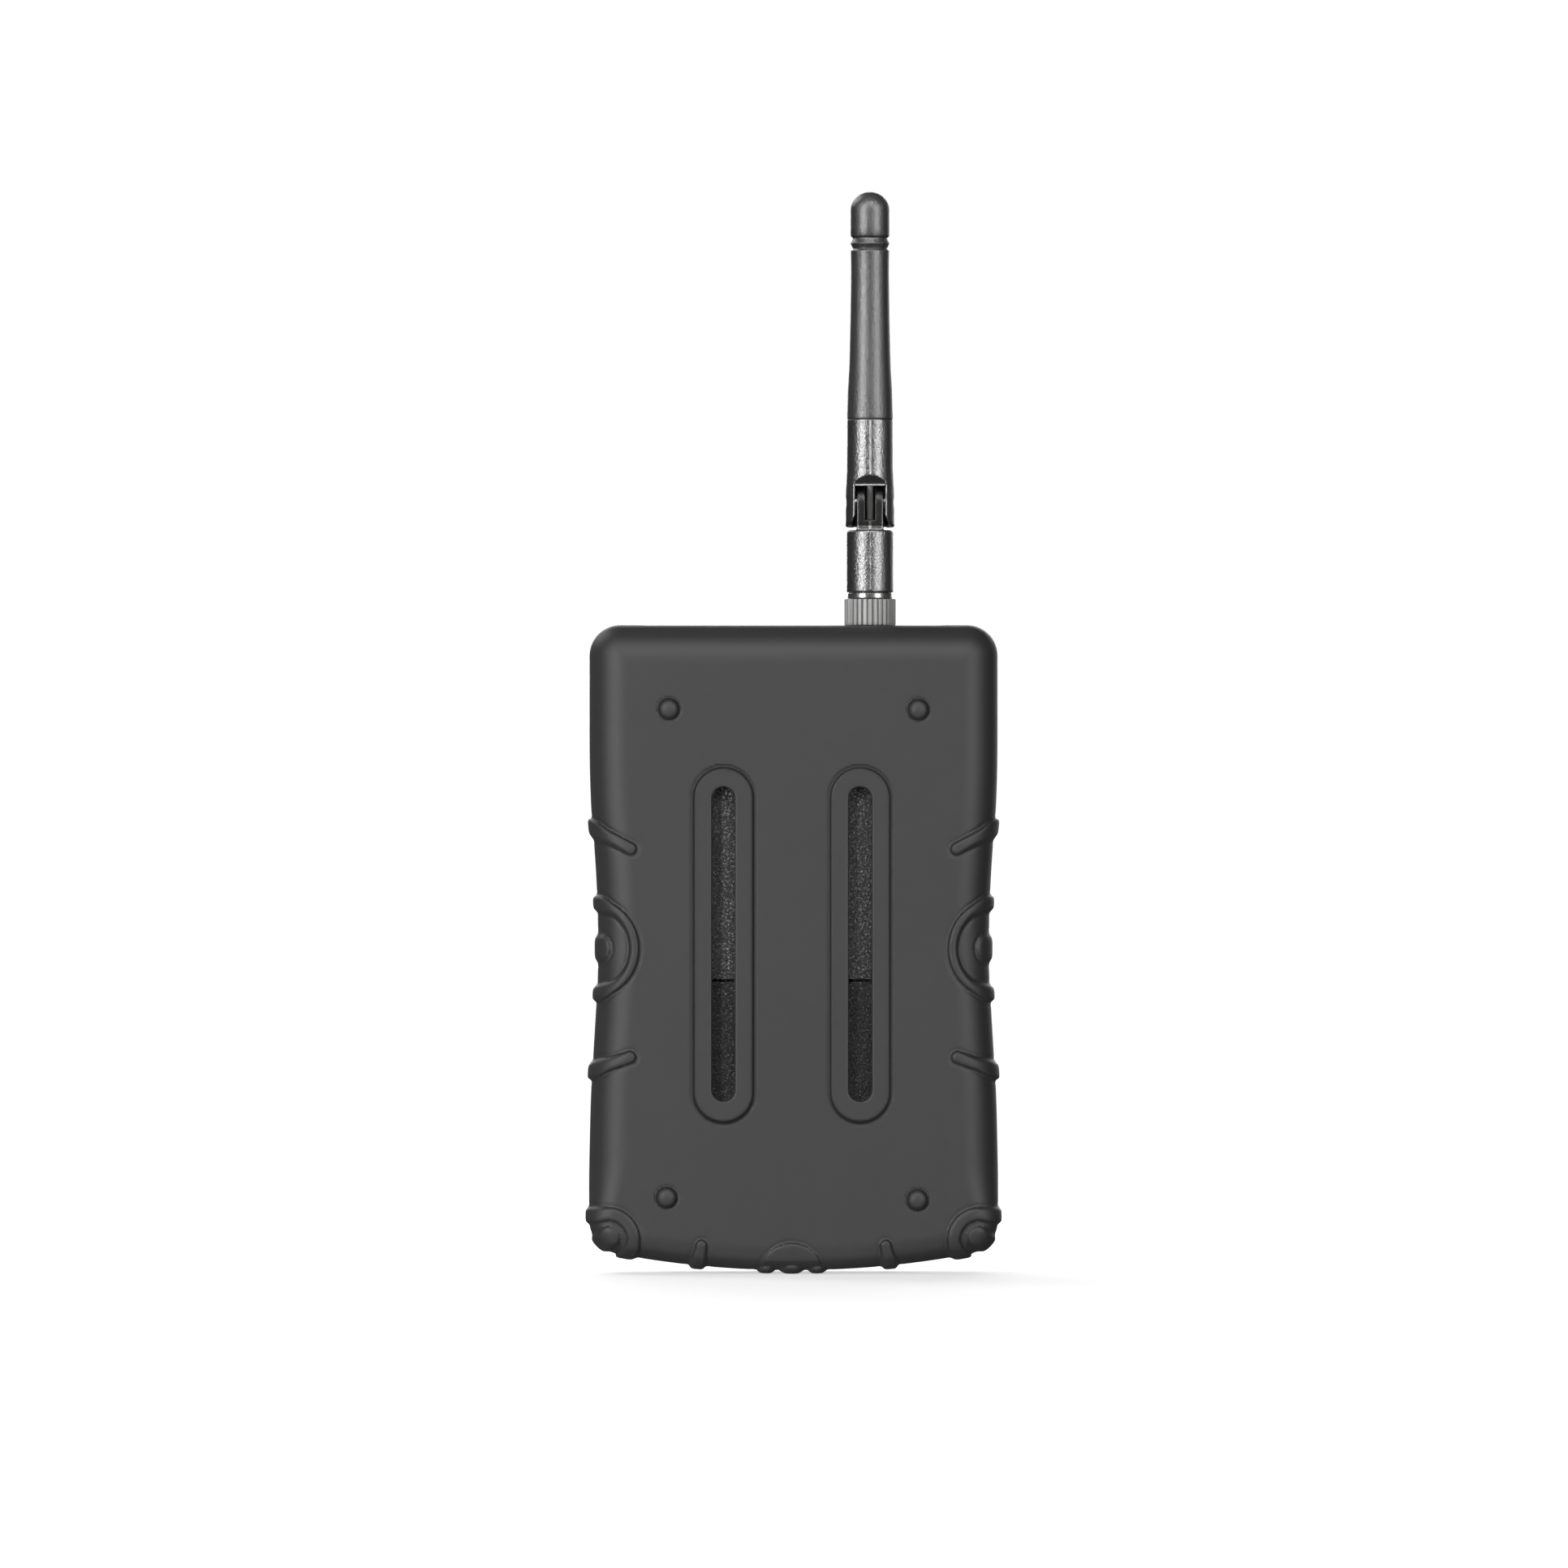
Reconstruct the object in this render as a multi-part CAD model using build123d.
from build123d import *
import math
import os

# Handheld bluetooth audio receiver in a moulded silicone boot, with a swivelling and tilting
# 2.4 GHz whip antenna on a coaxial screw connector.
# Millimetres. Origin: bottom centre of the boot. +Z up (towards the antenna), +Y out of the back
# (battery door side), -Y out of the front (key side).
# In names, _X, _Y and _Z are places or half sizes along that axis, _R is a radius, and 0 and 1
# mark the low and high end of a span.

SIDES = (-1, 1)

# ---------------------------------------------------------------- shared dimensions
CASE_X, CASE_Y, CASE_Z0, CASE_Z1 = 39.0, 13.5, 5.0, 134.4
CASE_R = 8.0
WALL = 2.2
PARTING = -4.5                           # plane between the front and rear shells
END_X, END_Y, END_Z = 33.0, 8.5, 137.4   # raised end panel
DOOR_Y = 8.0                             # plane between the door and the rear shell
DOOR_Z = 61.9                            # top edge of the battery door
SEAM = 0.6                               # visible gap between door and rear shell

ANT_X = -16.24            # antenna axis
THREAD_R = 3.17           # 1/4-36 UNS thread, drawn at its major diameter
JACK_X = 16.24            # audio socket axis
JACK_R = 1.8              # takes a 3.5 mm plug

BOSS_TOP = [(-33.0, 125.0), (33.0, 125.0)]     # case screw bosses, (x, z)
BOSS_LOW = [(-34.0, 15.0), (34.0, 15.0)]
BOSSES = BOSS_TOP + BOSS_LOW
SCREW_SEAT_Y = -1.5                            # seat of the case screw heads

PCB_POSTS = [(x, z) for z in (72.0, 122.5) for x in (-26.0, 26.0)]
PCB_Y0, PCB_Y1 = -7.4, -5.8
PCB_BACK = PCB_Y1 + 0.02                       # where the parts on the board's back start

KEY_X, KEY_Z_UPPER, KEY_Z_LOWER = 13.0, 96.0, 78.0
KEYS = {"power": (-KEY_X, KEY_Z_UPPER), "pair": (KEY_X, KEY_Z_UPPER),
        "volume_down": (-KEY_X, KEY_Z_LOWER), "volume_up": (KEY_X, KEY_Z_LOWER)}
KEY_W, KEY_H = 17.0, 11.0
LED_XS, LED_Z = (-6.0, 0.0, 6.0), 114.0

CELL_R, CELL_Y, CELL_PITCH = 7.25, 3.5, 14.7
LEAD_X, LEAD_Y = 27.0, 7.0                     # where the battery leads leave the compartment
HOOK_X = 14.7                                  # door hooks, either side of the middle


# ---------------------------------------------------------------- helpers
os.makedirs("parts", exist_ok=True)


def save(name, shape):
    """Write one node. A list of separate solids becomes one compound."""
    if isinstance(shape, list):
        shape = Compound(children=[solid for item in shape for solid in item.solids()])
    export_step(shape, f"parts/{name}.step")


def one(shape):
    """The single solid of a shape."""
    found = list(shape.solids())
    assert len(found) == 1, f"{len(found)} solids where one was wanted"
    return found[0]


def prism_x(sketch, x0, x1):
    """Extrude a sketch drawn in Y and Z from x0 to x1."""
    return extrude(Plane(origin=(x0, 0, 0), x_dir=(0, 1, 0), z_dir=(1, 0, 0)) * sketch,
                   amount=x1 - x0)


def prism_y(sketch, y0, y1):
    """Extrude a sketch drawn in X and Z from y0 to y1."""
    return extrude(Plane(origin=(0, y1, 0), x_dir=(1, 0, 0), z_dir=(0, -1, 0)) * sketch,
                   amount=y1 - y0)


def prism_z(sketch, z0, z1):
    return extrude(Plane.XY.offset(z0) * sketch, amount=z1 - z0)


def box(x0, x1, y0, y1, z0, z1):
    """Box by its limits; x0 and x1 may come in either order."""
    centre = Pos((x0 + x1) / 2, (y0 + y1) / 2, (z0 + z1) / 2)
    return centre * Box(abs(x1 - x0), y1 - y0, z1 - z0)


def block(x, z, width, height, y0, y1):
    """Box centred on (x, z), reaching from y0 to y1."""
    return Pos(x, (y0 + y1) / 2, z) * Box(width, y1 - y0, height)


def cyl_x(y, z, radius, x0, x1):
    """Cylinder along X; x0 and x1 may come in either order."""
    return Pos((x0 + x1) / 2, y, z) * Rot(0, 90, 0) * Cylinder(radius, abs(x1 - x0))


def cyl_y(x, z, radius, y0, y1):
    return Pos(x, (y0 + y1) / 2, z) * Rot(90, 0, 0) * Cylinder(radius, y1 - y0)


def cyl_z(x, y, radius, z0, z1):
    return Pos(x, y, (z0 + z1) / 2) * Cylinder(radius, z1 - z0)


def rounded(half_x, z0, z1, radius):
    """Rounded rectangle in X and Z, centred on x = 0."""
    return Pos(0, (z0 + z1) / 2) * RectangleRounded(2 * half_x, z1 - z0, radius)


def upright_slot(x, z0, z1, width):
    return Pos(x, (z0 + z1) / 2) * Rot(0, 0, 90) * SlotOverall(z1 - z0, width)


def key_outline(x, z, grow=0.0):
    return Pos(x, z) * SlotOverall(KEY_W + grow, KEY_H + grow)


def edges_at(solid, *levels):
    """Edges whose centres lie at one of the given Y levels."""
    return [e for e in solid.edges() if min(abs(e.center().Y - y) for y in levels) < 1e-3]


def cable(points, start_dir, end_dir, radius):
    path = Spline(*points, tangents=[start_dir, end_dir])
    return sweep(Plane(origin=path @ 0, z_dir=path % 0) * Circle(radius), path=path)


# ---------------------------------------------------------------- boot
BOOT_BACK, BOOT_FRONT = 16.0, 16.42      # faces without ribs, each side of y = 0
BOOT_TOP = 136.9
BOOT_TOP_R = 6.3                         # outline radius of the top corners
BOOT_LOW_R = 7.5                         # outline radius of the bottom corners
BOOT_EDGE_R = 5.4                        # rounding of the back and front edges
LOW_X, WAIST_X, HIGH_X = 43.36, 41.45, 43.27   # half widths below, at and above the waist
LOW_Z, WAIST_Z, HIGH_Z = 18.6, 69.0, 118.6
UNDER_R, UNDER_Z = 205.0, 0.78           # crowned underside: radius and lowest point
RIB = 0.8                                # how far ribs and slot pads stand proud
CAVITY_GAP = 0.08                        # boot to case
WINDOW_X, WINDOW_Z0, WINDOW_Z1, WINDOW_R = 32.0, 14.0, 125.0, 9.0   # opening in the front
SLOT_X = 14.5                            # back slot centres, either side of the middle
SLOT_W, SLOT_Z0, SLOT_Z1 = 5.0, 36.2, 103.6
PAD_W, PAD_Z0, PAD_Z1, PAD_CHAMFER = 13.8, 31.5, 107.9, 0.75   # raised pad round each slot
FOOT_X, FOOT_ZS, FOOT_R, FOOT_H = 26.4, (16.0, 119.7), 2.5, 1.3
FOOT_FLAT = 0.08                         # height cut off the tip of each domed foot


def arc(centre_x, centre_z, radius, angle0, angle1):
    """Arc in X and Z by its centre, radius and end angles in degrees."""
    points = [(centre_x + radius * math.cos(math.radians(angle)),
               centre_z + radius * math.sin(math.radians(angle)))
              for angle in (angle0, (angle0 + angle1) / 2, angle1)]
    return ThreePointArc(*points)


def waist_curve(wide_x, wide_z):
    """Radius and sweep angle of the two equal arcs joining a wide level to the waist."""
    half_x, half_z = (wide_x - WAIST_X) / 2, abs(wide_z - WAIST_Z) / 2
    radius = (half_x * half_x + half_z * half_z) / (2 * half_x)
    return radius, math.degrees(math.asin(half_z / radius))


def boot_outline(grow):
    """Waisted outline: tangent S curves below and above the waist, rounded corners and a
    slightly crowned underside."""
    under_centre = UNDER_Z + UNDER_R
    low_corner_x = LOW_X - BOOT_LOW_R
    low_corner_z = under_centre - math.sqrt((UNDER_R - BOOT_LOW_R) ** 2 - low_corner_x ** 2)
    reach = math.degrees(math.atan2(under_centre - low_corner_z, low_corner_x))
    low_r, low_angle = waist_curve(LOW_X, LOW_Z)
    high_r, high_angle = waist_curve(HIGH_X, HIGH_Z)
    top_corner_x, top_corner_z = HIGH_X - BOOT_TOP_R, BOOT_TOP - BOOT_TOP_R
    half = make_face(Wire([
        Line((0, BOOT_TOP + grow), (0, UNDER_Z - grow)),
        arc(0, under_centre, UNDER_R + grow, -90, -reach),
        arc(low_corner_x, low_corner_z, BOOT_LOW_R + grow, -reach, 0),
        Line((LOW_X + grow, low_corner_z), (LOW_X + grow, LOW_Z)),
        arc(LOW_X - low_r, LOW_Z, low_r + grow, 0, low_angle),
        arc(WAIST_X + low_r, WAIST_Z, low_r - grow, 180 + low_angle, 180),
        arc(WAIST_X + high_r, WAIST_Z, high_r - grow, 180, 180 - high_angle),
        arc(HIGH_X - high_r, HIGH_Z, high_r + grow, -high_angle, 0),
        Line((HIGH_X + grow, HIGH_Z), (HIGH_X + grow, top_corner_z)),
        arc(top_corner_x, top_corner_z, BOOT_TOP_R + grow, 0, 90),
        Line((top_corner_x, BOOT_TOP + grow), (0, BOOT_TOP + grow)),
    ]))
    return half + mirror(half, about=Plane.YZ)


def boot_body(grow=0.0):
    front, back = -BOOT_FRONT - grow, BOOT_BACK + grow
    body = one(prism_y(boot_outline(grow), front, back))
    return fillet(edges_at(body, front, back), BOOT_EDGE_R + grow)


def band(start, end, width):
    """Round-ended strip between two points in X and Z."""
    (x0, z0), (x1, z1) = start, end
    angle = math.degrees(math.atan2(z1 - z0, x1 - x0))
    return (Pos((x0 + x1) / 2, (z0 + z1) / 2) * Rot(0, 0, angle)
            * SlotCenterToCenter(math.hypot(x1 - x0, z1 - z0), width))


def ring(x, z, radius, width):
    return Pos(x, z) * (Circle(radius + width / 2) - Circle(radius - width / 2))


def rib_pattern():
    ribs = []
    for side in SIDES:
        ribs += [
            band((side * 34.1, 89.8), (side * 46.0, 96.5), 2.5),
            band((side * 34.1, 46.2), (side * 46.0, 42.4), 2.5),
            ring(side * 43.4, WAIST_Z, 9.7, 2.2),
            band((side * 38.6, WAIST_Z), (side * 47.0, WAIST_Z), 6.2),
            ring(side * 42.4, 5.4, 7.2, 2.4),
            band((side * 39.6, 8.4), (side * 45.0, 4.3), 4.0),
            band((side * 19.7, 6.4), (side * 20.8, -3.0), 2.4),
        ]
    ribs += [ring(0, 0.4, 5.8, 2.2), band((0, 1.6), (0, -3), 4.6)]
    pattern = ribs[0]
    for rib in ribs[1:]:
        pattern = pattern + rib
    return pattern


def boot():
    body = boot_body()
    grown = boot_body(RIB)
    ribbed = prism_y(rib_pattern(), -BOOT_FRONT - 2, BOOT_BACK + 2) & grown
    # nothing reaches below z = 0
    ribbed = ribbed & box(-60, 60, -30, 30, 0.0, 200)
    body = body + ribbed
    dome_r = (FOOT_R ** 2 + FOOT_H ** 2) / (2 * FOOT_H)
    for side in SIDES:
        pad = prism_y(upright_slot(side * SLOT_X, PAD_Z0, PAD_Z1, PAD_W),
                      BOOT_BACK - 1, BOOT_BACK + RIB)
        body = body + chamfer(pad.faces().sort_by(Axis.Y)[-1].edges(), PAD_CHAMFER)
        for z in FOOT_ZS:
            dome = Pos(side * FOOT_X, BOOT_BACK + FOOT_H - dome_r, z) * Sphere(dome_r)
            body = body + (dome & cyl_y(side * FOOT_X, z, FOOT_R, BOOT_BACK - 0.5,
                                        BOOT_BACK + FOOT_H - FOOT_FLAT))
    gap = CAVITY_GAP
    cavity_y = CASE_Y + gap
    cavity = prism_y(rounded(CASE_X + gap, CASE_Z0 - gap, CASE_Z1 + gap, CASE_R + gap),
                     -cavity_y, cavity_y)
    body = body - fillet(edges_at(cavity, -cavity_y, cavity_y), 2.5)
    # opening for the end panel
    body = body - prism_z(RectangleRounded(2 * (END_X + gap), 2 * (END_Y + gap), 3.0), 130, 140)
    body = body - prism_y(rounded(WINDOW_X, WINDOW_Z0, WINDOW_Z1, WINDOW_R),
                          -BOOT_BACK - 3, -CASE_Y + 1)
    for side in SIDES:
        body = body - prism_y(upright_slot(side * SLOT_X, SLOT_Z0, SLOT_Z1, SLOT_W), 10, 20)
    return one(body)


save("boot", boot())


# ---------------------------------------------------------------- case
def case_block(edge_r, inset=0.0):
    outline = rounded(CASE_X - inset, CASE_Z0 + inset, CASE_Z1 - inset, CASE_R - inset)
    half_y = CASE_Y - inset
    body = prism_y(outline, -half_y, half_y)
    return fillet(edges_at(body, -half_y, half_y), edge_r)


def hollow_case():
    """Whole case with its end panel, before it is split into shells and door."""
    panel = prism_z(RectangleRounded(2 * END_X, 2 * END_Y, 2.9), CASE_Z1 - 3.0, END_Z)
    panel = chamfer(panel.faces().sort_by(Axis.Z)[-1].edges(), 0.4)
    panel_hollow = prism_z(RectangleRounded(2 * END_X - 2 * WALL, 2 * END_Y - 2 * WALL, 1.0),
                           128, 135.0)
    return (case_block(3.0) + panel) - (case_block(1.2, inset=WALL) + panel_hollow)


CASE_SHELL = hollow_case()

# --- front shell
INSIDE_FRONT_Y = -CASE_Y + 1.0           # posts and ribs are rooted this deep in the wall
FRONT_RIB_Y = -9.3                       # back edge of the stiffening ribs
SHELL_GAP = 0.02
OVER_X, OVER_Z0, OVER_Z1, OVER_R = 30.0, 17.0, 122.0, 7.0   # recess for the front overlay
OVER_DEPTH = 0.5
OVER_GAP = 0.15                          # overlay edge to recess edge


def front_shell():
    front = CASE_SHELL & box(-50, 50, -20, PARTING - SHELL_GAP, 0, 150)
    for x, z in BOSSES:
        front = front + cyl_y(x, z, 2.7, INSIDE_FRONT_Y, PARTING - SHELL_GAP)
    for x, z in BOSSES:
        front = front - cyl_y(x, z, 1.15, -10.6, PARTING + 1)
    for x, z in PCB_POSTS:
        front = front + (cyl_y(x, z, 2.4, INSIDE_FRONT_Y, PCB_Y0 - 0.02)
                         - cyl_y(x, z, 0.95, -11.0, PCB_Y0 + 1))
    front = front - prism_y(rounded(OVER_X, OVER_Z0, OVER_Z1, OVER_R),
                            -CASE_Y - 1, -CASE_Y + OVER_DEPTH)
    for x, z in KEYS.values():
        front = front - prism_y(key_outline(x, z, 0.4), -CASE_Y - 1, -10)
        # guide rail round each key, inside the shell
        front = front + prism_y(key_outline(x, z, 5.2) - key_outline(x, z, 3.4),
                                -CASE_Y + 1.8, -9.2)
    for x in LED_XS:
        front = front - cyl_y(x, LED_Z, 1.55, -CASE_Y - 1, -10)
    # stiffening ribs behind the blank lower half
    for z in (28.0, 42.0, 56.0):
        front = front + block(0, z, 56, 1.2, INSIDE_FRONT_Y, FRONT_RIB_Y)
    for x in (-20.0, 0.0, 20.0):
        front = front + block(x, 41.0, 1.2, 38.0, INSIDE_FRONT_Y, FRONT_RIB_Y)
    return one(front)


def front_overlay():
    """Thin sheet with openings for keys and light pipes."""
    outline = rounded(OVER_X - OVER_GAP, OVER_Z0 + OVER_GAP, OVER_Z1 - OVER_GAP,
                      OVER_R - OVER_GAP)
    overlay = prism_y(outline, -CASE_Y - 0.02, -CASE_Y + OVER_DEPTH - 0.05)
    for x, z in KEYS.values():
        overlay = overlay - prism_y(key_outline(x, z, 0.8), -20, 0)
    for x in LED_XS:
        overlay = overlay - cyl_y(x, LED_Z, 1.6, -20, 0)
    return one(overlay)


save("front_shell", front_shell())
save("front_overlay", front_overlay())

# --- rear shell with the battery compartment
COMP_X, COMP_Z0, COMP_Z1 = 29.65, 8.4, 63.4
COMP_OUT_X = COMP_X + 1.3                # outside of the compartment's side walls
COMP_TOP = COMP_Z1 + 1.5                 # upper face of its top wall
COMP_SIDE_Z0 = 7.4
FLOOR_Y0, FLOOR_Y1 = -5.3, -3.9
UNDER_DOOR_Y = DOOR_Y - 0.1              # rear shell stops here below the door


def bored_boss(rear, x, z, head_r):
    """Cut the screw head's bore and the shank hole into a boss."""
    rear = rear - cyl_y(x, z, head_r, SCREW_SEAT_Y, (CASE_Y if z > DOOR_Z else DOOR_Y) + 1)
    return rear - cyl_y(x, z, 1.25, PARTING - 1, SCREW_SEAT_Y + 1)


def rear_shell():
    rear = CASE_SHELL & box(-50, 50, PARTING, 20, 0, 150)
    rear = rear - box(-50, 50, UNDER_DOOR_Y, 20, 0, DOOR_Z + SEAM)
    # compartment floor, side, top and bottom walls
    rear = rear + box(-COMP_OUT_X, COMP_OUT_X, FLOOR_Y0, FLOOR_Y1, COMP_SIDE_Z0, COMP_TOP)
    rear = rear + box(-COMP_OUT_X, COMP_OUT_X, PARTING, FLOOR_Y1, 6.0, 8.0)
    for side in SIDES:
        x0, x1 = side * COMP_X, side * COMP_OUT_X
        rear = rear + box(x0, x1, FLOOR_Y0, UNDER_DOOR_Y, COMP_SIDE_Z0, COMP_TOP)
        rear = rear + box(x0, x1, FLOOR_Y0, 11.25, DOOR_Z + SEAM, COMP_TOP)
    rear = rear + box(-COMP_OUT_X, COMP_OUT_X, FLOOR_Y0, 11.4, COMP_Z1, COMP_TOP)
    rear = rear + box(-COMP_OUT_X, COMP_OUT_X, PARTING, UNDER_DOOR_Y, 6.0, COMP_Z0)
    # low ribs between the cells
    for x in (-CELL_PITCH, 0.0, CELL_PITCH):
        rear = rear + block(x, 36.0, 1.0, 44.0, FLOOR_Y0, FLOOR_Y1 + 1.6)
    for x, z in BOSS_TOP:
        rear = rear + cyl_y(x, z, 3.3, PARTING, CASE_Y - 1.0)
        rear = bored_boss(rear, x, z, 2.35)
    for x, z in BOSS_LOW:
        # a short web ties each lower boss to the side wall
        web_x = math.copysign(36.5, x)
        rear = rear + cyl_y(x, z, 2.95, PARTING, DOOR_Y - 1.0)
        rear = rear + block(web_x, z, 2.0, 3.0, PARTING, DOOR_Y - 1.0)
        rear = bored_boss(rear, x, z, 2.2)
    # openings in the end wall for the two sockets
    rear = rear - cyl_z(ANT_X, 0, THREAD_R + 0.05, 130, 140)
    rear = rear - cyl_z(JACK_X, 0, 3.05, 130, 140)
    # pocket walls that key the antenna socket's square shoulder
    for side in SIDES:
        rear = rear + block(ANT_X + side * 5.0, 133.3, 1.8, 4.2, -4.2, 6.5)
    # holes for the battery leads
    for side in SIDES:
        rear = rear - cyl_z(side * LEAD_X, LEAD_Y, 1.0, 60, 67)
    # slots that take the door's two hooks, and the notch for its snap
    for side in SIDES:
        rear = rear - block(side * HOOK_X, 64.0, 5.2, 4.0, 9.1, 11.6)
    rear = rear - box(-6.3, 6.3, 5.2, DOOR_Y, 7.2, 8.7) - box(-5.3, 5.3, 5.6, 6.9, 6.6, 7.3)
    return one(rear)


def battery_door():
    """Shallow lid over the lower back, with two hooks at its top and a snap at its bottom."""
    door = CASE_SHELL & box(-50, 50, DOOR_Y, 20, 0, DOOR_Z)
    for side in SIDES:
        x0, x1 = side * HOOK_X - 2.3, side * HOOK_X + 2.3
        door = door + box(x0, x1, 9.4, 11.5, 58.0, 61.5)
        door = door + box(x0, x1, 9.4, 11.0, 61.0, 65.2)
    door = door + box(-6.0, 6.0, 5.5, 11.5, 7.35, 8.3) + box(-6.0, 6.0, DOOR_Y, 11.5, 7.0, 8.3)
    door = door + box(-5.0, 5.0, 5.9, 6.6, 6.9, 7.4)
    # short ribs inside the door
    for x in (-22.0, -7.35, 7.35, 22.0):
        for z in (19.0, 51.0):
            door = door + block(x, z, 1.0, 10.0, 10.9, 11.6)
    return one(door)


save("rear_shell", rear_shell())
save("battery_door", battery_door())
save("door_foam", one(prism_y(rounded(27.0, 27.0, 43.0, 1.5), 10.77, 11.28)))


# ---------------------------------------------------------------- fasteners
def screw(x, z, seat_y, tip_y, shank_r, head_r, head_h, edge_r, cross_z, cross_w, cross_l):
    """Cross-head screw driven towards the front; cross_z is the recess floor above the seat."""
    head = cyl_y(x, z, head_r, seat_y + 0.02, seat_y + head_h)
    head = fillet(head.edges().sort_by(Axis.Y)[-1], edge_r)
    cross = (block(x, z, cross_w, cross_l, seat_y + cross_z, 5)
             + block(x, z, cross_l, cross_w, seat_y + cross_z, 5))
    return one((head - cross) + cyl_y(x, z, shank_r, tip_y, seat_y + 0.1))


save("case_screws", [screw(x, z, seat_y=SCREW_SEAT_Y, tip_y=-10.4, shank_r=1.1, head_r=2.1,
                           head_h=1.5, edge_r=0.5, cross_z=0.7, cross_w=0.6, cross_l=2.2)
                     for x, z in BOSSES])
save("pcb_screws", [screw(x, z, seat_y=PCB_Y1, tip_y=-10.8, shank_r=0.9, head_r=1.8,
                          head_h=1.1, edge_r=0.4, cross_z=0.55, cross_w=0.5, cross_l=1.8)
                    for x, z in PCB_POSTS])


# ---------------------------------------------------------------- electronics
def main_pcb():
    pcb = prism_y(rounded(29.8, 68.0, 128.5, 2.0), PCB_Y0, PCB_Y1)
    for x, z in PCB_POSTS:
        pcb = pcb - cyl_y(x, z, 1.1, -10, 0)
    return one(pcb)


def shield_can():
    can = box(4.0, 19.0, PCB_BACK + 0.82, PCB_BACK + 2.9, 97.0, 108.0)
    can = fillet(can.edges().filter_by(Axis.Y), 0.6)
    return one(can - box(4.3, 18.7, PCB_BACK - 1, PCB_BACK + 2.65, 97.3, 107.7))


def chip(x, z, width, height, thickness):
    body = block(x, z, width, height, PCB_BACK, PCB_BACK + thickness)
    return chamfer(body.faces().sort_by(Axis.Y)[-1].edges(), 0.15)


def power_inductor():
    body = block(22.5, 82.5, 5.0, 5.0, PCB_BACK, PCB_BACK + 2.8)
    return one(fillet(body.edges().filter_by(Axis.Y), 1.2))


def coupling_capacitor(x, z=115.5):
    can = cyl_y(x, z, 3.15, PCB_BACK + 0.3, PCB_BACK + 5.6)
    return one(can + block(x, z, 6.6, 6.6, PCB_BACK, PCB_BACK + 0.6))


# centres of the small passives, (x, z)
PASSIVES = [(-14.5, 100.0), (-14.5, 97.0), (-14.5, 94.0), (-8.0, 91.5), (-12.0, 84.0),
            (0.5, 86.5), (0.5, 83.5), (9.0, 80.5), (9.0, 77.5), (19.0, 77.0),
            (22.5, 104.0), (22.5, 101.0)]

save("main_pcb", main_pcb())
save("bluetooth_module", box(2.5, 20.5, PCB_BACK, PCB_BACK + 0.8, 96.0, 109.0))
save("module_shield_can", shield_can())
save("audio_codec", chip(-8.0, 98.0, 6.0, 6.0, 0.9))
save("control_chip", chip(-6.0, 84.0, 7.0, 7.0, 1.0))
save("power_regulator", chip(14.0, 76.0, 4.9, 3.9, 1.5))
save("power_inductor", power_inductor())
save("audio_coupling_capacitors", [coupling_capacitor(x) for x in (6.5, 14.0)])
save("chip_passives", [chip(x, z, 1.6, 0.8, 0.5) for x, z in PASSIVES])
save("crystal", chip(-6.0, 77.0, 3.2, 2.5, 0.8))


def light_pipe(x):
    pipe = cyl_y(x, LED_Z, 1.45, -13.8, -8.6) + cyl_y(x, LED_Z, 2.1, -11.2, -10.4)
    return one(fillet(pipe.edges().sort_by(Axis.Y)[0], 0.45))


save("status_leds", [block(x, LED_Z, 1.6, 0.8, -8.3, PCB_Y0 - 0.02) for x in LED_XS])
save("light_pipes", [light_pipe(x) for x in LED_XS])


# ---------------------------------------------------------------- keys
CAP_FRONT, CAP_LIP, CAP_BACK = -15.2, -11.2, -10.4   # front face, lip front and back of a cap


def switch_body(x, z):
    """Fixed body of a tactile switch; its plunger is a separate piece."""
    body = block(x, z, 6, 6, -9.4, PCB_Y0 - 0.02)
    body = chamfer(body.edges().filter_by(Axis.Y), 0.5)
    return one(body - cyl_y(x, z, 1.8, -10, -7.8))


def icon(name, x, z):
    """Plain symbol sunk into a key top."""
    if name == "volume_up":
        symbol = Rectangle(4.6, 0.9) + Rectangle(0.9, 4.6)
    elif name == "volume_down":
        symbol = Rectangle(4.6, 0.9)
    elif name == "power":
        gap = Pos(0, 1.8) * Rectangle(1.9, 2.6)
        symbol = (Circle(2.3) - Circle(1.6)) - gap + Pos(0, 1.6) * Rectangle(0.7, 2.6)
    else:
        # a dot with two arcs on each side
        symbol = Circle(0.6)
        for radius in (1.6, 2.8):
            right = make_face(Polyline((0, 0), (4, 3.2), (4, -3.2), close=True))
            left = make_face(Polyline((0, 0), (-4, -3.2), (-4, 3.2), close=True))
            circle = Circle(radius + 0.3) - Circle(radius - 0.3)
            symbol = symbol + (circle & right) + (circle & left)
    return prism_y(Pos(x, z) * symbol, -16.0, CAP_FRONT + 0.25)


def key_cap(name, x, z):
    """Hollow cap with a retaining lip and a central post that meets the plunger."""
    cap = prism_y(key_outline(x, z), CAP_FRONT, CAP_BACK)
    cap = fillet(cap.edges().group_by(Axis.Y)[0], 1.1)
    cap = cap + prism_y(key_outline(x, z, 3.0), CAP_LIP, CAP_BACK)
    hollow = prism_y(key_outline(x, z, -3.4), -13.2, CAP_BACK + 0.1)
    cap = cap - (hollow - cyl_y(x, z, 2.2, -14, -10))
    return one(cap - icon(name, x, z))


save("tact_switch_bodies", [switch_body(x, z) for x, z in KEYS.values()])
for name, (x, z) in KEYS.items():
    save(f"key_{name}", key_cap(name, x, z))
    save(f"plunger_{name}", cyl_y(x, z, 1.75, CAP_BACK + 0.05, -8.4))


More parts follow.
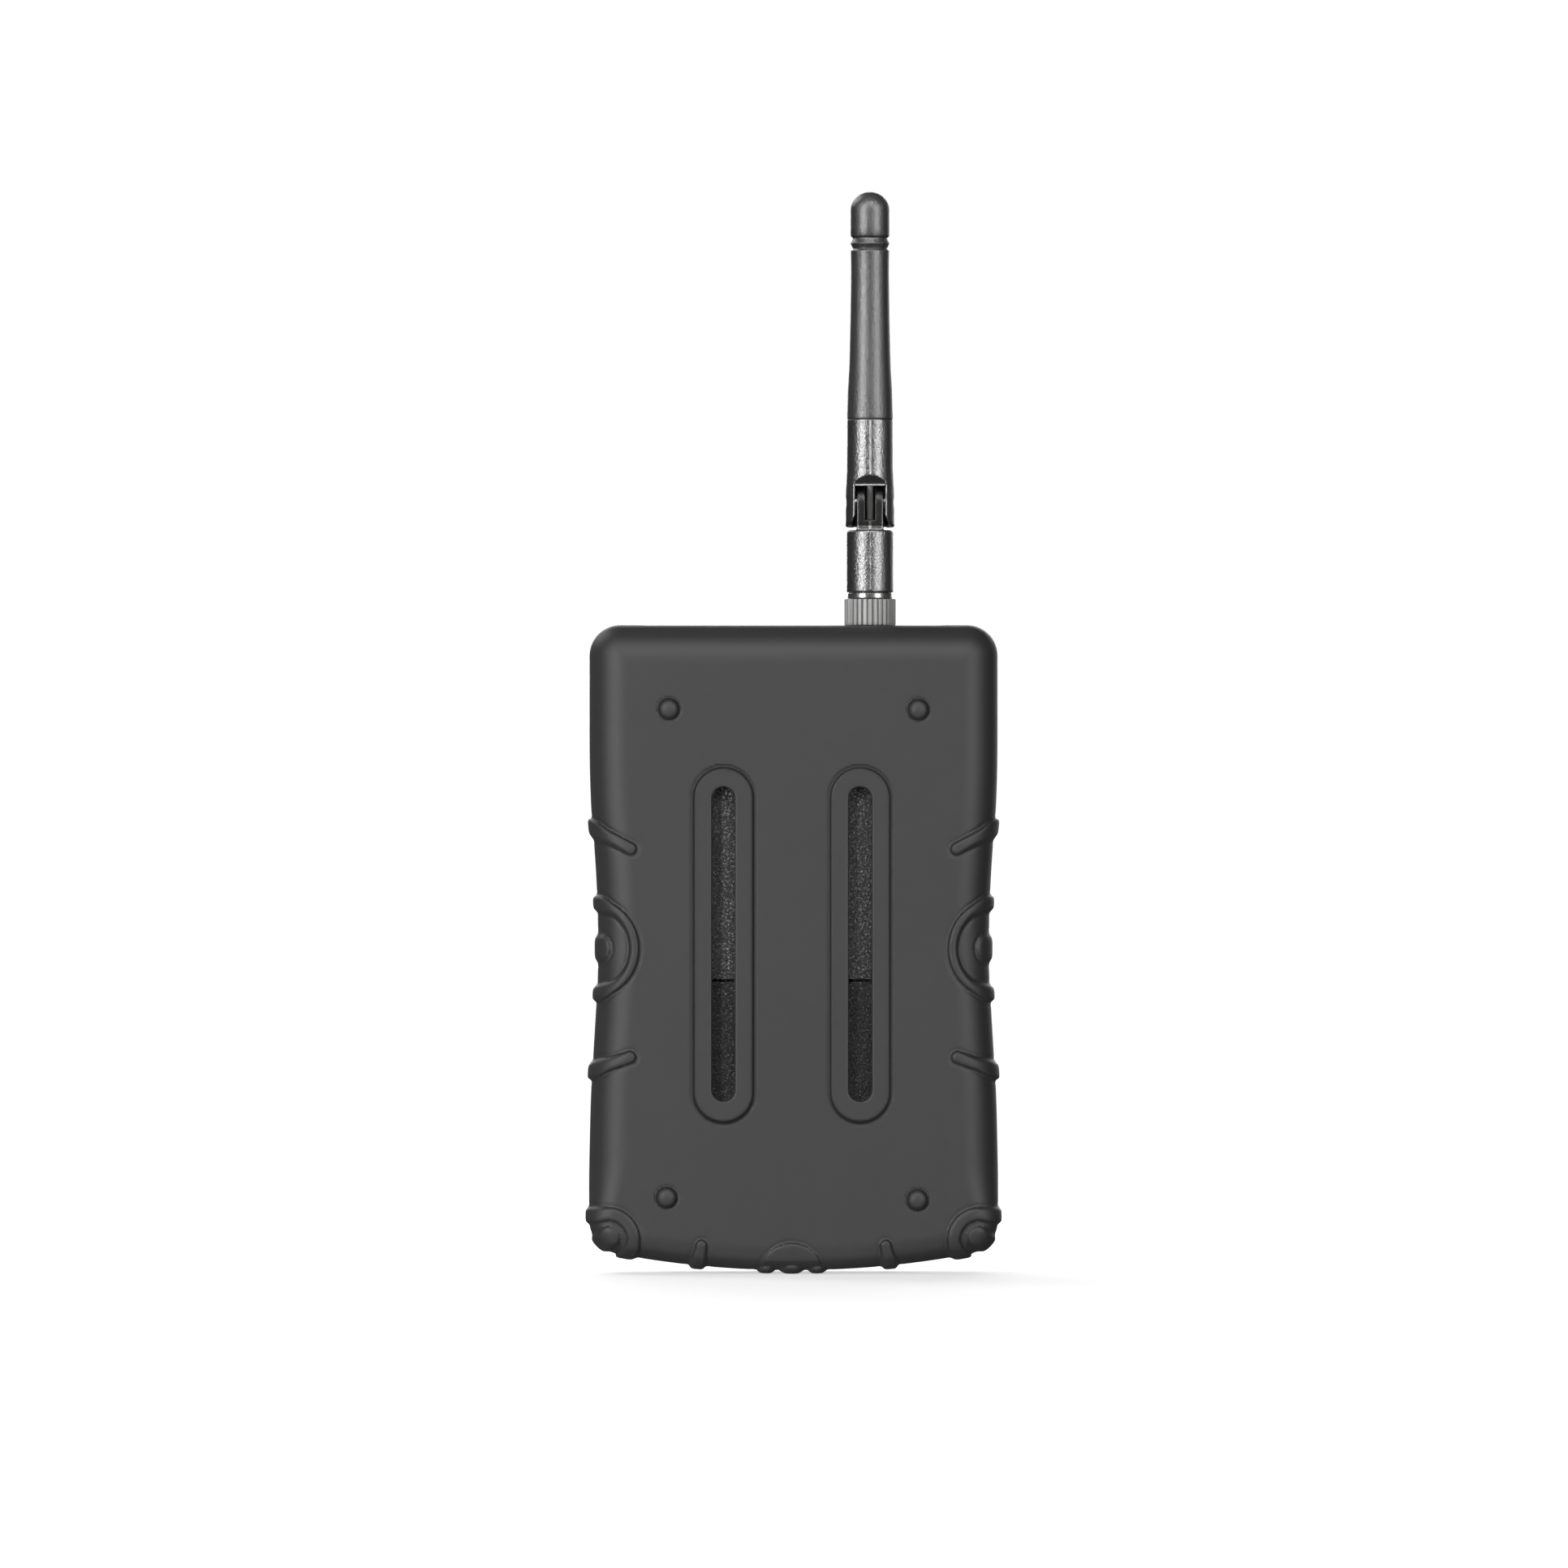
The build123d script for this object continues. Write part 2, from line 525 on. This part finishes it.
# ---------------------------------------------------------------- audio socket
def audio_jack():
    """Moulded block with a round nose that fills the end wall opening."""
    body = box(JACK_X - 4.6, JACK_X + 4.6, PCB_BACK, 3.6, 121.5, 134.9)
    body = fillet(body.edges().filter_by(Axis.Z), 0.5)
    body = body + cyl_z(JACK_X, 0, 3.0, 134.5, END_Z - 0.1)
    return one(body - cyl_z(JACK_X, 0, JACK_R, 122.9, 140))


save("audio_jack", audio_jack())
save("audio_jack_contacts", [box(JACK_X + 4.62, JACK_X + 4.85, -4.5, 0.0, z - 0.9, z + 0.9)
                             for z in (124.0, 128.0, 132.0)])

# ---------------------------------------------------------------- power
CELL_BODY_H = 49.5
CELLS = [((n - 1.5) * CELL_PITCH, n % 2 == 0) for n in range(4)]   # (x, positive end up)


def aa_cell(x, up):
    z0 = 12.35 if up else 9.95
    cell = cyl_z(x, CELL_Y, CELL_R, z0, z0 + CELL_BODY_H)
    cell = fillet(cell.edges().filter_by(GeomType.CIRCLE), 0.5)
    nub_z0, nub_z1 = (61.0, 62.9) if up else (8.9, 11.0)
    return one(cell + cyl_z(x, CELL_Y, 2.7, nub_z0, nub_z1))


def contact_spring(x, up):
    """Three-turn coil at the cell's flat end."""
    path = Helix(pitch=0.93, height=2.79, radius=3.4, center=(x, CELL_Y, 9.2 if up else 59.8))
    wire = Plane(origin=path @ 0, z_dir=path % 0) * Circle(0.28)
    return sweep(wire, path=path, is_frenet=True)


# contact plates: (x0, x1, z0)
PLATES = [(-29.4, -0.35, 8.45), (0.35, 29.4, 8.45),
          (-29.4, -15.1, 62.95), (-14.3, 14.3, 62.95), (15.1, 29.4, 62.95)]

save("aa_cells", [aa_cell(x, up) for x, up in CELLS])
save("contact_springs", [contact_spring(x, up) for x, up in CELLS])
save("battery_contact_plates", [box(x0, x1, -3.5, 8.6, z0, z0 + 0.4) for x0, x1, z0 in PLATES])
save("lead_red", cable([(-LEAD_X, LEAD_Y, 63.4), (-LEAD_X, LEAD_Y - 0.4, 67.5),
                        (-25.0, 0.0, 74.0), (-23.0, PCB_BACK + 0.02, 77.0)],
                       (0, 0, 1), (0, -1, 0), 0.6))
save("lead_black", cable([(LEAD_X, LEAD_Y, 63.4), (LEAD_X, LEAD_Y - 0.4, 67.5),
                          (25.5, 0.5, 71.5), (25.0, PCB_BACK + 0.02, 77.5)],
                         (0, 0, 1), (0, -1, 0), 0.6))

# ---------------------------------------------------------------- antenna
NUT_R, NUT_Z0, NUT_Z1 = 5.47, 137.5, 143.1
TEETH = 30                               # knurls round the nut
THREAD_PITCH = 0.7056
HINGE_Z = 163.55                         # tilt axis
BARREL_R, BARREL_Z0, BARREL_Z1 = 5.0, 144.5, 157.7
TONGUE_X, TONGUE_R = 2.85, 3.4           # tongue of the barrel, between the yoke's ears
EAR_R = 5.25
YOKE_TOP = 181.2
YOKE_WIN_X, YOKE_WIN_Z = 3.2, 167.2      # window between the ears: half width and top
SCOOP_H = 2.1                            # height of the arched top of the window's back
ANT_TOP = 229.6
COAX_R = 0.7
BORE_R = 0.8                             # coax bore through barrel and yoke
DOME_R, DOME_X, DOME_Z = 3.6, 0.54, 226.0      # rounded tip: radius and arc centre


def turned(profile):
    """Solid of revolution about the antenna axis from (radius, z) points."""
    face = make_face(Plane.XZ * Polyline(*profile, close=True))
    return Pos(ANT_X, 0, 0) * revolve(face, axis=Axis.Z)


def tube(inner_r, outer_r, z0, z1):
    return turned([(inner_r, z0), (outer_r, z0), (outer_r, z1), (inner_r, z1)])


def rod(radius, z0, z1):
    return cyl_z(ANT_X, 0, radius, z0, z1)


def axis_box(half_x, y0, y1, z0, z1):
    return box(ANT_X - half_x, ANT_X + half_x, y0, y1, z0, z1)


# --- socket, fixed in the end wall
def antenna_socket():
    body = turned([(2.1, 130.9), (3.6, 130.9), (3.6, 134.95), (THREAD_R, 134.95),
                   (THREAD_R, 141.6), (2.9, 141.9), (2.3, 141.9), (2.3, 139.05), (2.1, 139.05)])
    shoulder = axis_box(4, -4, 4, 130.9, 134.9) - rod(3.0, 130, 140)
    # light thread form: shallow grooves at the thread pitch
    for n in range(9):
        z = 135.6 + THREAD_PITCH * n
        body = body - turned([(3.4, z - 0.3), (3.4, z + 0.3), (2.87, z)])
    return one(body + shoulder)


RF_X, RF_Z = -10.0, 110.5                # connector on the board

save("antenna_socket", antenna_socket())
save("socket_insulator", tube(0.95, 2.05, 131.0, 139.0))
save("socket_contact", turned([(0, 129.5), (0.9, 129.5), (0.9, 139.0), (0.5, 139.0),
                               (0.5, 136.5), (0, 136.5)]))
save("board_rf_connector", one(block(RF_X, RF_Z, 2.6, 2.6, PCB_BACK, PCB_BACK + 0.4)
                               + cyl_y(RF_X, RF_Z, 1.2, PCB_BACK, PCB_BACK + 1.8)))
save("rf_pigtail", cable([(ANT_X, 0, 129.45), (ANT_X + 0.3, 0.3, 125.5), (-12.5, -1.5, 118.5),
                          (RF_X, -3.3, 112.0)], (0, 0, -1), (0, 0, -1), 0.65))

# --- plug, screwed to the socket
PLUG_PROFILE = [
    (1.7, 139.2), (2.25, 139.2), (2.25, 141.95), (3.05, 141.95), (3.05, 142.55), (2.3, 142.55),
    (2.3, 143.15), (4.6, 143.15), (4.8, 143.35), (4.8, 144.25), (4.6, 144.45), (2.6, 144.45),
    (2.6, 148.4), (2.1, 148.4), (2.1, 149.2), (2.6, 149.2), (2.6, 149.7), (2.3, 150.0),
    (1.7, 150.0)]


def plug_pin():
    pin = rod(0.45, 137.4, 149.9)
    return one(chamfer(pin.edges().sort_by(Axis.Z)[0], 0.2))


def antenna_nut():
    """Knurled coupling nut."""
    knurl = []
    step = 2 * math.pi / TEETH
    for n in range(TEETH):
        for part, radius in ((0.0, NUT_R - 0.34), (0.28, NUT_R), (0.62, NUT_R)):
            angle = (n + part) * step
            knurl.append((radius * math.cos(angle), radius * math.sin(angle)))
    nut = prism_z(Pos(ANT_X, 0) * make_face(Polyline(*knurl, close=True)), NUT_Z0, NUT_Z1)
    nut = nut & turned([(0, NUT_Z0), (5.0, NUT_Z0), (5.6, NUT_Z0 + 0.5), (5.6, NUT_Z1 - 0.5),
                        (5.0, NUT_Z1), (0, NUT_Z1)])
    return one(nut - rod(THREAD_R + 0.05, NUT_Z0 - 1, 142.6) - rod(2.35, 142, 144))


save("antenna_plug", one(turned(PLUG_PROFILE)))
save("plug_insulator", tube(0.5, 1.65, 139.3, 149.8))
save("plug_pin", plug_pin())
save("swivel_clip", one((rod(2.95, 148.45, 149.15) - rod(2.13, 148, 150))
                        - axis_box(0.7, 0, 4, 148, 150)))
save("antenna_nut", antenna_nut())


# --- barrel, swivels on the plug
def antenna_barrel():
    barrel = turned([
        (2.65, BARREL_Z0), (BARREL_R - 0.3, BARREL_Z0), (BARREL_R, BARREL_Z0 + 0.3),
        (BARREL_R, BARREL_Z1 - 0.35), (BARREL_R - 0.35, BARREL_Z1), (BORE_R, BARREL_Z1),
        (BORE_R, 150.2), (2.65, 150.2), (2.65, 149.4), (3.0, 149.4), (3.0, 148.25),
        (2.65, 148.25)])
    tongue = prism_x(Circle(TONGUE_R), -TONGUE_X, TONGUE_X)
    tongue = (Pos(ANT_X, 0, HINGE_Z) * tongue
              + axis_box(TONGUE_X, -TONGUE_R, TONGUE_R, BARREL_Z1 - 1, HINGE_Z))
    tongue = tongue - axis_box(1.03, -6, 6, 159.9, 170)
    tongue = tongue - rod(BORE_R, 150, 170)
    tongue = tongue - cyl_x(0, HINGE_Z, 1.45, ANT_X - 4, ANT_X + 4)
    return one(barrel + tongue)


save("antenna_barrel", antenna_barrel())
save("coax_lower", rod(COAX_R, 150.25, HINGE_Z - 0.75))


# --- whip, tilts on the barrel
def antenna_yoke():
    yoke = turned([(0, HINGE_Z - 5.4), (5.25, HINGE_Z - 5.4), (5.25, HINGE_Z + 1.5),
                   (4.98, 170.5), (4.9, YOKE_TOP), (3.2, YOKE_TOP), (3.2, 185.7), (2.9, 186.0),
                   (0, 186.0)])
    # round the ears about the tilt axis
    ears = Pos(ANT_X, 0, HINGE_Z) * prism_x(Circle(EAR_R), -8, 8)
    yoke = yoke & (ears + axis_box(8, -8, 8, HINGE_Z, 190))
    yoke = yoke - axis_box(YOKE_WIN_X, -3.55, 8, HINGE_Z - 8, YOKE_WIN_Z)
    scoop_r = (YOKE_WIN_X ** 2 + SCOOP_H ** 2) / (2 * SCOOP_H)
    scoop = (cyl_y(ANT_X, YOKE_WIN_Z + SCOOP_H - scoop_r, scoop_r, 3.3, 8)
             & axis_box(YOKE_WIN_X, 0, 9, YOKE_WIN_Z - 0.01, YOKE_WIN_Z + 3))
    yoke = yoke - scoop
    yoke = yoke - rod(BORE_R, YOKE_WIN_Z - 1, 190)
    return one(yoke - cyl_x(0, HINGE_Z, 1.42, ANT_X - 8, ANT_X + 8))


def tilt_pin(side):
    pin = cyl_x(0, HINGE_Z, 1.4, ANT_X + side * 1.1, ANT_X + side * 4.9)
    return one(chamfer(pin.edges().filter_by(GeomType.CIRCLE), 0.2))


def radome():
    """Slim sleeve that tapers, necks in at two grooves and ends in a dome."""
    profile = [
        (3.25, YOKE_TOP + 0.02), (4.9, YOKE_TOP + 0.02), (4.74, 187.6), (4.57, 190.2),
        (4.4, 192.7), (4.3, 197.9), (4.2, 201.3), (4.14, 205.7), (4.05, 213.4), (4.12, 217.0),
        (3.68, 217.5), (4.13, 218.05), (4.15, 218.6), (4.13, 219.35), (3.68, 219.9),
        (4.14, 220.45), (4.14, DOME_Z)]
    for degrees in (15, 30, 45, 60, 75):
        angle = math.radians(degrees)
        profile.append((DOME_X + DOME_R * math.cos(angle), DOME_Z + DOME_R * math.sin(angle)))
    profile += [(DOME_X, ANT_TOP), (0, ANT_TOP), (0, 227.2), (2.2, 227.2), (2.6, DOME_Z),
                (2.6, 186.1), (3.25, 186.1)]
    return one(turned(profile))


save("antenna_yoke", antenna_yoke())
save("tilt_pins", [tilt_pin(side) for side in SIDES])
save("coax_upper", rod(COAX_R, HINGE_Z + 0.75, 190.0))
save("radome", radome())
save("dipole_sleeve", tube(1.9, 2.2, 188.0, 206.0))
save("dipole_insulator", tube(0.75, 1.85, 188.2, 189.6))
save("dipole_core", tube(0, 0.45, 190.1, 224.5))
save("dipole_spacer", tube(0.5, 2.5, 212.0, 214.0))
